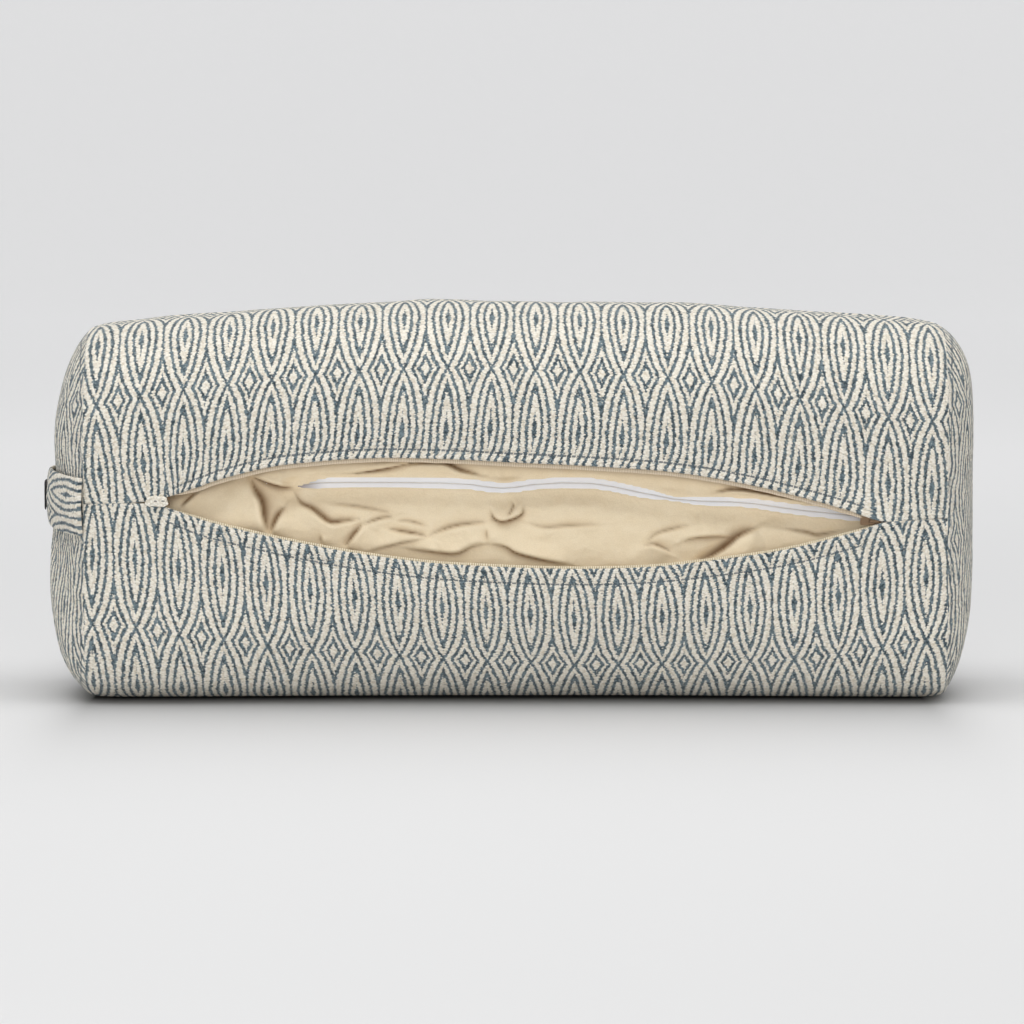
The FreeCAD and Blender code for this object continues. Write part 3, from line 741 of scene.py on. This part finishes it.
# --- Shader nodes ---------------------------------------------------------------------------------------
class Graph:
    """Short names for adding shader nodes to a new material."""

    def __init__(self, name):
        self.material = bpy.data.materials.new(name)
        self.material.use_nodes = True
        self.tree = self.material.node_tree
        self.shader = self.tree.nodes["Principled BSDF"]

    def node(self, kind, **settings):
        made = self.tree.nodes.new(kind)
        for key, value in settings.items():
            setattr(made, key, value)
        return made

    def plug(self, socket, value):
        if isinstance(value, bpy.types.NodeSocket):
            self.tree.links.new(value, socket)
        else:
            socket.default_value = value

    def surface(self, sockets):
        """Constant values and node outputs for the shader's own sockets."""
        for name, value in sockets.items():
            self.plug(self.shader.inputs[name], value)

    def math(self, operation, a, b=0.0, clamp=False):
        made = self.node("ShaderNodeMath", operation=operation, use_clamp=clamp)
        self.plug(made.inputs[0], a)
        self.plug(made.inputs[1], b)
        return made.outputs[0]

    def add(self, a, b, clamp=False):
        return self.math("ADD", a, b, clamp)

    def sub(self, a, b):
        return self.math("SUBTRACT", a, b)

    def mul(self, a, b):
        return self.math("MULTIPLY", a, b)

    def near(self, value, place):
        return self.math("ABSOLUTE", self.sub(value, place))

    def folded(self, value, period):
        """Distance from value to the nearest whole multiple of period."""
        return self.math("PINGPONG", value, period / 2)

    def fall_off(self, distance, length):
        """1 at no distance, dying away over a length."""
        return self.math("EXPONENT", self.math("DIVIDE", distance, -length))

    def stretched(self, vector, factors):
        made = self.node("ShaderNodeVectorMath", operation="MULTIPLY")
        self.plug(made.inputs[0], vector)
        self.plug(made.inputs[1], factors)
        return made.outputs["Vector"]

    def split(self, vector):
        made = self.node("ShaderNodeSeparateXYZ")
        self.plug(made.inputs[0], vector)
        return made.outputs["X"], made.outputs["Y"], made.outputs["Z"]

    def mix(self, share, a, b):
        made = self.node("ShaderNodeMix", data_type="RGBA")
        self.plug(made.inputs["Factor"], share)
        self.plug(made.inputs["A"], a)
        self.plug(made.inputs["B"], b)
        return made.outputs["Result"]

    def noise(self, vector, scale, detail=2.0, roughness=0.5):
        made = self.node("ShaderNodeTexNoise")
        self.plug(made.inputs["Vector"], vector)
        made.inputs["Scale"].default_value = scale
        made.inputs["Detail"].default_value = detail
        made.inputs["Roughness"].default_value = roughness
        return made.outputs["Fac"]

    def loops(self, vector, scale=1.0, randomness=1.0):
        """Lumps of yarn: their height, and a colour of each lump's own."""
        cells = self.node("ShaderNodeTexVoronoi", feature="F1")
        self.plug(cells.inputs["Vector"], vector)
        cells.inputs["Scale"].default_value = scale
        cells.inputs["Randomness"].default_value = randomness
        return self.sub(1.0, cells.outputs["Distance"]), cells.outputs["Color"]

    def ramp(self, value, low, high):
        made = self.node("ShaderNodeMapRange", interpolation_type="SMOOTHSTEP")
        self.plug(made.inputs["Value"], value)
        made.inputs["From Min"].default_value = low
        made.inputs["From Max"].default_value = high
        return made.outputs["Result"]

    def bump(self, height, distance_mm, strength=1.0, normal=None):
        made = self.node("ShaderNodeBump")
        made.inputs["Strength"].default_value = strength
        made.inputs["Distance"].default_value = distance_mm * MM
        self.plug(made.inputs["Height"], height)
        if normal is not None:
            self.plug(made.inputs["Normal"], normal)
        return made.outputs["Normal"]

    def cloth(self):
        """The mesh's own cloth coordinates: the vector, and its three parts."""
        vector = self.node("ShaderNodeAttribute", attribute_name="cloth").outputs["Vector"]
        return (vector, *self.split(vector))


# --- Look of the woven cover ----------------------------------------------------------------------------
# Where the weave's four lines start on a row of small diamonds, from the crossing between two of them.
INNER_RING = -5.2
OUTER_RING = 6.3
RINGS = (INNER_RING, 0.0, OUTER_RING, 11.1)
RING_SPREAD = 11.9       # how far the lines spread between two rows, and how soon
RING_DECAY = 21.0
# The pale yarn's colour is darker between its loops, as painted shade, and brighter at their middles, as a
# painted highlight.
PALE_YARN = (0.74, 0.665, 0.54, 1), (0.985, 0.94, 0.84, 1)
TEAL_YARN = (0.022, 0.038, 0.05, 1), (0.20, 0.265, 0.295, 1)
STITCH_THREAD = (0.10, 0.13, 0.15, 1)
HALF_STITCH = 1.7        # half of the topstitches' repeat along a lip


def weave_gap(g, across, along, vector):
    """Distance to the nearest teal line or filled patch of the weave."""
    half = COLUMN_PERIOD / 2
    wobble = g.mul(g.sub(g.noise(vector, 0.16, 2.0), 0.5), 1.5)
    wander = g.mul(g.sub(g.noise(vector, 0.75, 2.0, 0.65), 0.5), 1.7)
    x = g.folded(g.add(g.add(across, half), g.add(wobble, wander)), COLUMN_PERIOD)
    y = g.folded(g.add(along, g.mul(wobble, 1.5)), ROW_PERIOD)
    decay = g.fall_off(y, RING_DECAY)
    spread = g.mul(g.sub(1.0, decay), RING_SPREAD)
    slope = g.mul(decay, RING_SPREAD / RING_DECAY)
    lean = g.math("SQRT", g.add(g.mul(slope, slope), 1.0))
    nearest = None
    for start in RINGS:
        place = g.add(spread, start)
        if start == OUTER_RING:
            place = g.math("MINIMUM", place, half + 0.25)
        gap = g.near(x, place)
        nearest = gap if nearest is None else g.math("MINIMUM", nearest, gap)
    inner, outer = g.add(spread, INNER_RING), g.add(spread, OUTER_RING)
    tip = g.math("MAXIMUM", g.sub(x, inner), g.sub(inner, 0.8))
    wedge = g.math("MAXIMUM", g.sub(outer, x), g.sub(half - 0.45, outer))
    filled = g.math("MAXIMUM", g.math("MINIMUM", tip, wedge), 0.0)
    gap = g.math("DIVIDE", g.math("MINIMUM", nearest, filled), lean)
    from_tall = g.sub(ROW_PERIOD / 2, y)
    bar = g.add(g.sub(x, 0.8), g.mul(from_tall, 0.13))
    return g.math("MINIMUM", gap, g.math("MAXIMUM", bar, 0.0))


def stitch_mask(g, across, from_lip):
    """The dashes of thread along both lips."""
    rows = g.add(g.math("LESS_THAN", g.near(from_lip, STITCH_UPPER), 0.7),
                 g.math("LESS_THAN", g.near(from_lip, -STITCH_LOWER), 0.55), clamp=True)
    middle, reach = (MOUTH_LEFT + MOUTH_RIGHT) / 2, (MOUTH_RIGHT - MOUTH_LEFT) / 2 - 8.0
    dash = g.mul(g.math("GREATER_THAN", g.math("PINGPONG", across, HALF_STITCH), 0.35),
                 g.math("LESS_THAN", g.near(across, middle), reach))
    return g.mul(g.mul(rows, dash), 0.8)


def woven_cover():
    """Knobbly off-white ribs outlined in teal."""
    g = Graph("jacquard_boucle")
    vector, across, along, from_lip = g.cloth()
    gap = weave_gap(g, across, along, vector)
    loop, loop_color = g.loops(g.stretched(vector, (0.52, 0.72, 0.0)), randomness=0.85)
    tone_a, tone_b, _ = g.split(loop_color)
    fuzz = g.noise(vector, 1.6, 2.0, 0.7)
    ragged = g.add(gap, g.mul(g.sub(loop, 0.62), 1.9))
    nick = g.ramp(g.noise(g.stretched(vector, (0.16, 1.25, 0.0)), 1.0, 2.0, 0.6), 0.63, 0.70)
    ivory = g.mul(g.ramp(ragged, 0.42, 1.2), g.sub(1.0, g.mul(nick, 0.85)))
    # Pale yarn is painted brighter at the middle of each loop and darker between loops, a painted highlight
    # and shade, mixed with each loop's own random tone.
    shade = g.add(g.mul(loop, 0.8), g.mul(tone_a, 0.35))
    pale = g.mix(g.ramp(shade, 0.15, 0.85), *PALE_YARN)
    teal = g.mix(g.ramp(g.add(fuzz, g.mul(tone_b, 0.5)), 0.4, 1.0), *TEAL_YARN)
    thread = stitch_mask(g, across, from_lip)
    rib = g.math("SQRT", g.ramp(gap, 0.1, 2.4))
    bumps = g.add(g.mul(rib, g.add(0.35, g.mul(loop, 0.9))), g.mul(fuzz, 0.3))
    g.surface({
        "Base Color": g.mix(thread, g.mix(ivory, teal, pale), STITCH_THREAD),
        "Roughness": 0.95, "Sheen Weight": 0.15, "Sheen Roughness": 0.6, "Specular IOR Level": 0.12,
        "Normal": g.bump(bumps, 1.15, 1.0),
    })
    return g.material


# --- Looks of the bag, the tapes and the metal -------------------------------------------------------------
CALICO = (0.86, 0.71, 0.485, 1), (0.95, 0.82, 0.605, 1)
CALICO_FLECK = (0.62, 0.50, 0.33, 1)
# colour of the painted shade in the calico's creases and under the upper lip
CALICO_PAINTED_SHADE = (0.25, 0.14, 0.06, 1)
THREAD_PHASE = 8.4       # radians of the plain weave's wave in a millimetre
TAPE_IN_SHADE = (0.20, 0.14, 0.14, 1)
# The tab's cotton is darker between its lumps, as painted shade, and brighter at their middles, as a painted
# highlight.
TAB_COTTON = (0.72, 0.66, 0.55, 1), (0.95, 0.91, 0.82, 1)
TAB_STITCH = (0.10, 0.10, 0.09, 1)


def calico():
    """Unbleached plain weave, with painted shade that turns it darker and browner in its creases and just
    under the upper lip.
    """
    g = Graph("calico")
    vector, across, along, crease_shade = g.cloth()
    flat = g.stretched(vector, (1.0, 1.0, 0.0))
    warp = g.math("SINE", g.mul(g.add(across, g.noise(flat, 0.25)), THREAD_PHASE))
    weft = g.math("SINE", g.mul(g.add(along, g.noise(flat, 0.2)), THREAD_PHASE))
    tone = g.mix(g.noise(flat, 0.09, 3.0, 0.6), *CALICO)
    fleck = g.ramp(g.noise(flat, 1.2, 2.0, 0.7), 0.35, 0.7)
    tone = g.mix(g.mul(fleck, 0.25), tone, CALICO_FLECK)
    # painted shade: darker brown where the mesh marks a crease or the upper lip's shadow
    tone = g.mix(g.mul(g.ramp(crease_shade, 0.0, 9.0), 0.9), tone, CALICO_PAINTED_SHADE)
    crumple = g.noise(flat, 0.055, 3.0, 0.55)
    g.surface({
        "Base Color": tone, "Roughness": 0.85, "Sheen Weight": 0.1, "Specular IOR Level": 0.25,
        "Normal": g.bump(crumple, 5.0, 0.45, g.bump(g.add(warp, weft), 0.05, 0.35)),
    })
    return g.material


def zip_tape(name, dark, light, rib_pitch):
    """Ribbed tape, darker where the mesh says that it lies in shade."""
    g = Graph(name)
    _, along, _, shade = g.cloth()
    rib = g.math("SINE", g.mul(along, 2 * math.pi / rib_pitch))
    tone = g.mix(g.ramp(rib, -0.6, 0.6), dark, light)
    g.surface({
        "Base Color": g.mix(shade, tone, TAPE_IN_SHADE), "Roughness": 0.65, "Specular IOR Level": 0.35,
        "Normal": g.bump(rib, 0.12, 0.6),
    })
    return g.material


def tab_cloth():
    """Knobbly cream cotton with two dark stitches."""
    g = Graph("cream_boucle")
    vector, across, _, height = g.cloth()
    loop, _ = g.loops(vector, 0.62)
    # painted highlight at each lump's middle and painted shade at its edges
    pale = g.mix(g.ramp(loop, 0.1, 0.8), *TAB_COTTON)
    level = g.math("LESS_THAN", g.near(height, 0.4), 0.4)
    mark = g.add(g.math("LESS_THAN", g.near(across, -0.6), 1.0),
                 g.math("LESS_THAN", g.near(across, 4.8), 1.1))
    g.surface({
        "Base Color": g.mix(g.mul(level, mark), pale, TAB_STITCH), "Roughness": 0.95,
        "Specular IOR Level": 0.12, "Normal": g.bump(loop, 0.6, 1.0),
    })
    return g.material


def plain(name, color, roughness, metal=0.0):
    """One colour with a fine mottle."""
    g = Graph(name)
    tone = g.noise(g.node("ShaderNodeTexCoord").outputs["Object"], 900.0, 2.0)
    dim = tuple(0.82 * c for c in color) + (1,)
    g.surface({"Base Color": g.mix(tone, dim, color + (1,)), "Roughness": roughness, "Metallic": metal})
    return g.material


# --- Stage: lengths in metres -------------------------------------------------------------------------------
FLOOR_FRONT, SWEEP_START, SWEEP_RADIUS, BACKDROP_HEIGHT, FLOOR_HALF_WIDTH = -6.0, 4.7, 1.0, 5.0, 6.0
PAPER = (0.775, 0.775, 0.777, 1), (0.83, 0.83, 0.832, 1)
# colour of the painted contact shadow
SHADOW_BLACK = (0.0, 0.0, 0.0, 1)
SHADOW_HALF_LENGTH, SHADOW_HALF_DEPTH = 0.295, 0.035     # the painted contact shadow under the bolster
CAMERA_DISTANCE = 4.5
CAMERA_ELEVATION = 5.0   # degrees
CAMERA_AIM = (0.0028, -0.088, 0.1377)
VIEW_WIDTH = 0.7211      # across the picture, at the bolster's front
SENSOR_MM = 36.0


def stage_material():
    """Pale matte paper, a little paler far behind the bolster, with a painted contact shadow dark close round
    its foot.
    """
    g = Graph("pale_paper")
    place = g.node("ShaderNodeTexCoord").outputs["Object"]
    x, y, _ = g.split(place)
    mottle = g.mul(g.sub(g.noise(place, 3.0, 2.0), 0.5), 0.02)
    paper = g.mix(g.add(g.ramp(y, 0.4, 4.4), mottle), *PAPER)
    # Painted contact shadow: darkest at the bolster's foot, fading over some 13 cm ahead and behind it but
    # only about 16 mm past its ends. Camera rays see all of it and other rays a fifth; dark is the share the
    # paper takes.
    aside = g.mul(g.math("MAXIMUM", g.sub(g.math("ABSOLUTE", x), SHADOW_HALF_LENGTH), 0.0), 8.0)
    ahead = g.math("MAXIMUM", g.sub(g.math("ABSOLUTE", y), SHADOW_HALF_DEPTH), 0.0)
    gap = g.math("SQRT", g.add(g.mul(aside, aside), g.mul(ahead, ahead)))
    contact_shadow = g.add(g.mul(g.fall_off(gap, 0.015), 0.25), g.mul(g.fall_off(gap, 0.13), 0.68))
    seen = g.node("ShaderNodeLightPath").outputs["Is Camera Ray"]
    dark = g.mul(contact_shadow, g.add(g.mul(seen, 0.8), 0.2))
    g.surface({
        "Base Color": g.mix(dark, paper, SHADOW_BLACK), "Roughness": 0.85, "Specular IOR Level": 0.08,
        "Emission Color": (0.98, 0.985, 1.0, 1.0), "Emission Strength": g.mul(g.ramp(y, 0.0, 2.4), 0.25),
    })
    return g.material


def make_stage():
    """A floor that curves up into a backdrop."""
    profile = [(FLOOR_FRONT, 0.0), (SWEEP_START, 0.0)]
    for turn in np.linspace(0.0, math.pi / 2, 12)[1:]:
        profile.append((SWEEP_START + SWEEP_RADIUS * math.sin(turn), SWEEP_RADIUS * (1.0 - math.cos(turn))))
    profile.append((SWEEP_START + SWEEP_RADIUS, BACKDROP_HEIGHT))
    points = [(x, y, z) for y, z in profile for x in (-FLOOR_HALF_WIDTH, FLOOR_HALF_WIDTH)]
    mesh = bpy.data.meshes.new("floor")
    mesh.from_pydata(points, [], grid_faces(len(profile), 2).tolist())
    mesh.polygons.foreach_set("use_smooth", [True] * len(mesh.polygons))
    mesh.materials.append(stage_material())
    put("floor", mesh)


def make_lamp(name, place, target, size, watts):
    data = bpy.data.lights.new(name, "AREA")
    data.shape = "RECTANGLE"
    data.size, data.size_y = size
    data.energy = watts
    lamp = put(name, data)
    lamp.location = place
    lamp.rotation_euler = (Vector(target) - Vector(place)).to_track_quat("-Z", "Y").to_euler()


def make_light():
    world = bpy.data.worlds.new("studio")
    world.use_nodes = True
    background = world.node_tree.nodes["Background"]
    background.inputs["Color"].default_value = (1.0, 1.0, 1.0, 1.0)
    background.inputs["Strength"].default_value = 0.45
    bpy.context.scene.world = world
    make_lamp("overhead", (0.0, -0.4, 2.3), (0.0, 0.0, 0.1), (2.8, 1.6), 37.0)
    make_lamp("front_fill", (-0.4, -3.0, 0.6), (0.0, 0.0, 0.10), (2.0, 1.0), 23.0)


def make_view():
    """Plain display colours, so that the cloth keeps its own."""
    bpy.context.scene.view_settings.view_transform = "Standard"
    bpy.context.scene.view_settings.look = "None"


def make_camera():
    data = bpy.data.cameras.new("camera")
    data.sensor_width = SENSOR_MM
    data.lens = SENSOR_MM * CAMERA_DISTANCE / VIEW_WIDTH
    data.clip_end = 40.0
    camera = put("camera", data)
    elevation = math.radians(CAMERA_ELEVATION)
    offset = Vector((0.0, -math.cos(elevation), math.sin(elevation))) * CAMERA_DISTANCE
    camera.location = Vector(CAMERA_AIM) + offset
    camera.rotation_euler = (-offset).to_track_quat("-Z", "Y").to_euler()
    bpy.context.scene.camera = camera


# --- Putting the zips and the tab on --------------------------------------------------------------------
COVER_TAPE_WIDTH = 12.0


def lip_tape(name, lip, proud, depth, thickness, material, coil_material):
    """A tape sewn behind a lip, standing a little proud of its edge, with the coil along its free edge."""
    edge, inward, normal = lip
    inside = (edge[:, 0] > MOUTH_LEFT - 2.0) & (edge[:, 0] < MOUTH_RIGHT + 2.0)
    edge, inward, normal = edge[inside].copy(), inward[inside], normal[inside]
    radius = hem_radius(edge[:, 0])
    room = ease((edge[:, 0] - MOUTH_LEFT) / 26.0) * ease((MOUTH_RIGHT - edge[:, 0]) / 26.0)
    edge[:, 0] += SEAM_X
    free = edge - inward * (radius + proud * room - 0.8)[:, None] - normal * depth
    start = free + inward * COVER_TAPE_WIDTH - normal * 3.5
    ribbon(f"cover_zip_band_{name}", start, (free - start) / COVER_TAPE_WIDTH, COVER_TAPE_WIDTH, thickness,
           material, f"cover_zip_tape_{name}")
    coil = free + inward * 1.2 - normal * (thickness + 0.9)
    tube(f"cover_zip_spiral_{name}", coil, 0.8, coil_material, f"cover_zip_coil_{name}")


def zip_pieces(materials, lips):
    """Tapes and coils: the cover's follow its open lips and the bag's follow its closed line."""
    lip_tape("upper", lips["upper"], 3.3, 3.4, 0.6, materials["cover_tape"], materials["cover_coil"])
    lip_tape("lower", lips["lower"], 2.0, 2.2, 1.3, materials["cover_tape_lower"], materials["cover_coil"])
    xs = np.linspace(-172.0, 262.0, 330)
    height = height_of(BAG_ZIP_LINE, xs)
    x = xs + SEAM_X
    slope = np.gradient(height, xs)
    across = unit(np.stack([-slope, np.zeros_like(xs), np.ones_like(xs)], axis=-1))
    middle = np.stack([x, zip_depth(xs) - 0.2, height], axis=-1)
    for name, sign in (("upper", 1.0), ("lower", -1.0)):
        ribbon(f"bag_zip_band_{name}", middle + across * 0.1 * sign, across * sign, BAG_ZIP_TAPE_WIDTH, 0.5,
               materials["bag_tape"], f"bag_zip_tape_{name}",
               sink_from=4.4, shade=0.85 * ease((-132.0 - xs) / 26.0))
        tube(f"bag_zip_spiral_{name}", middle + across * 1.2 * sign + np.array([0.0, 1.3, 0.0]), 0.7,
             materials["bag_tape"], f"bag_zip_coil_{name}")


def make_end_tab(material):
    """The folded cotton tab at the mouth's left corner."""
    centre = (TAB_LOW + TAB_HIGH) / 2
    size = (TAB_HIGH - TAB_LOW) / 2
    rows, columns = 20, 60
    points = np.zeros((rows, columns, 3))
    for i, t in enumerate(np.linspace(-math.pi / 2, math.pi / 2, rows)):
        for k, turn in enumerate(np.linspace(0, 2 * math.pi, columns, endpoint=False)):
            c, s = math.cos(turn), math.sin(turn)
            ring = math.cos(t) ** 0.35
            points[i, k] = (size[0] * math.copysign(abs(c) ** 0.5, c) * ring, -math.sin(t) * 1.7,
                            0.8 * size[2] * math.copysign(abs(s) ** 0.5, s) * ring)
    points *= 1.0 + 0.16 * lumps(points, 4.5, 6.0)[..., None]
    points += 0.5 * lumps(points, 1.6, 2.0)[..., None] * np.array([0.9, 1.0, 0.9])
    cloth = points.copy()
    points += np.array([centre[0] - 2.4, FRONT - 1.2, centre[2]])
    faces = grid_faces(rows, columns, close_columns=True)
    made = new_piece("zip_end_tab", points, faces, cloth, material)
    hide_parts("cover_zip_end_tab")


def dress(node, material):
    """The frame's own piece, in a better material."""
    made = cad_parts[node]
    made.data.materials.clear()
    made.data.materials.append(material)


# Each end's name, the way that it faces along X, and its column of a wrapped mesh.
ENDS = ("left", -1.0, 0), ("right", 1.0, -1)


def main():
    make_stage()
    make_light()
    make_camera()
    make_view()
    cover = woven_cover()
    cotton = calico()
    materials = {
        "cover_tape": zip_tape("beige_tape", (0.64, 0.51, 0.37, 1), (0.86, 0.74, 0.57, 1), 1.2),
        "cover_tape_lower": zip_tape("cream_roll", (0.62, 0.50, 0.32, 1), (0.90, 0.82, 0.64, 1), 1.6),
        "cover_coil": plain("beige_nylon", (0.46, 0.34, 0.20), 0.45),
        "bag_tape": zip_tape("white_tape", (0.95, 0.95, 0.985, 1), (0.98, 0.98, 1.0, 1), 0.7),
    }
    wrap, lips = make_cover_wrap(cover)
    puffs = {"left": {"reach": END_REACH, "full": (END_FRONT, 4.4, 4.8), "centre_z": 110.0, "dent": END_DENT},
             "right": {"reach": 0.90, "full": (2.0, 8.0, 4.4)}}
    for name, side, column in ENDS:
        border = wrap[:, column].copy()
        border[:, 0] += SEAM_X
        make_dome(f"cover_end_{name}", side, border, cover, "cover_fabric", 34, f"cover_end_panel_{name}",
                  COVER_END_FLAT, rests_on=[f"bag_end_{name}"], **puffs[name])
    bag = make_bag(cotton)
    for name, side, column in ENDS:
        make_dome(f"bag_end_{name}", side, bag[::-1, column], cotton, "bag_fabric", 14,
                  f"bag_end_panel_{name}", BAG_END_FLAT, reach=0.8, ripple=0.6, rests_on=["bag_filling"])
    make_filling(plain("cotton_fibre", (0.80, 0.76, 0.68), 0.95))
    make_handle(cover, plain("black_tape", (0.02, 0.02, 0.025), 0.8))
    zip_pieces(materials, lips)
    make_end_tab(tab_cloth())
    bronze = plain("old_bronze", (0.22, 0.14, 0.08), 0.5, metal=0.6)
    enamel = plain("white_enamel", (0.80, 0.80, 0.83), 0.3)
    for part in ("slider", "pull", "bottom_stop", "top_stops"):
        dress(f"cover_zip_{part}", bronze)
        dress(f"bag_zip_{part}", enamel)


main()
